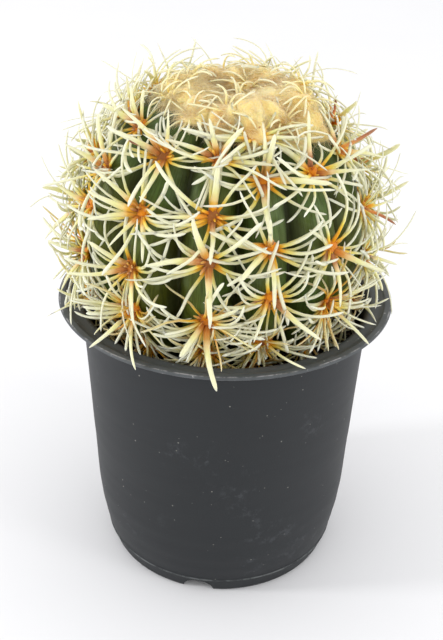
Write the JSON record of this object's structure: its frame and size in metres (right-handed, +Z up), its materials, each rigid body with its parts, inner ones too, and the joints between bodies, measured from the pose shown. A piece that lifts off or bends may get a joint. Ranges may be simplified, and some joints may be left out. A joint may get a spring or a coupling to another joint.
{
  "type": "potted round cactus",
  "caption": "Round ribbed cactus with stars of pale spines and a woolly crown, growing in soil in a tapered plastic nursery pot with a flared rim.",
  "frame": {"origin": "middle of the pot's underside, on the surface that the pot stands on", "axes": "+Z up along the pot's axis; the front of the plant, as pictured, faces -Y; +X to its right"},
  "size_m": [0.1301, 0.1279, 0.195],
  "materials": {
    "pot_plastic": "satin moulded plastic, dark grey, with faint scuffs",
    "soil": "dark crumbly potting soil with grit",
    "stem_skin": "waxy satin plant skin, dark green, with ivory spines that are orange at the root",
    "wool": "soft felted wool, cream yellow"
  },
  "bodies": {
    "root": {"pot": "pot_plastic", "soil": "soil", "cactus": "stem_skin", "crown_wool": "wool"}
  },
  "joints": []
}
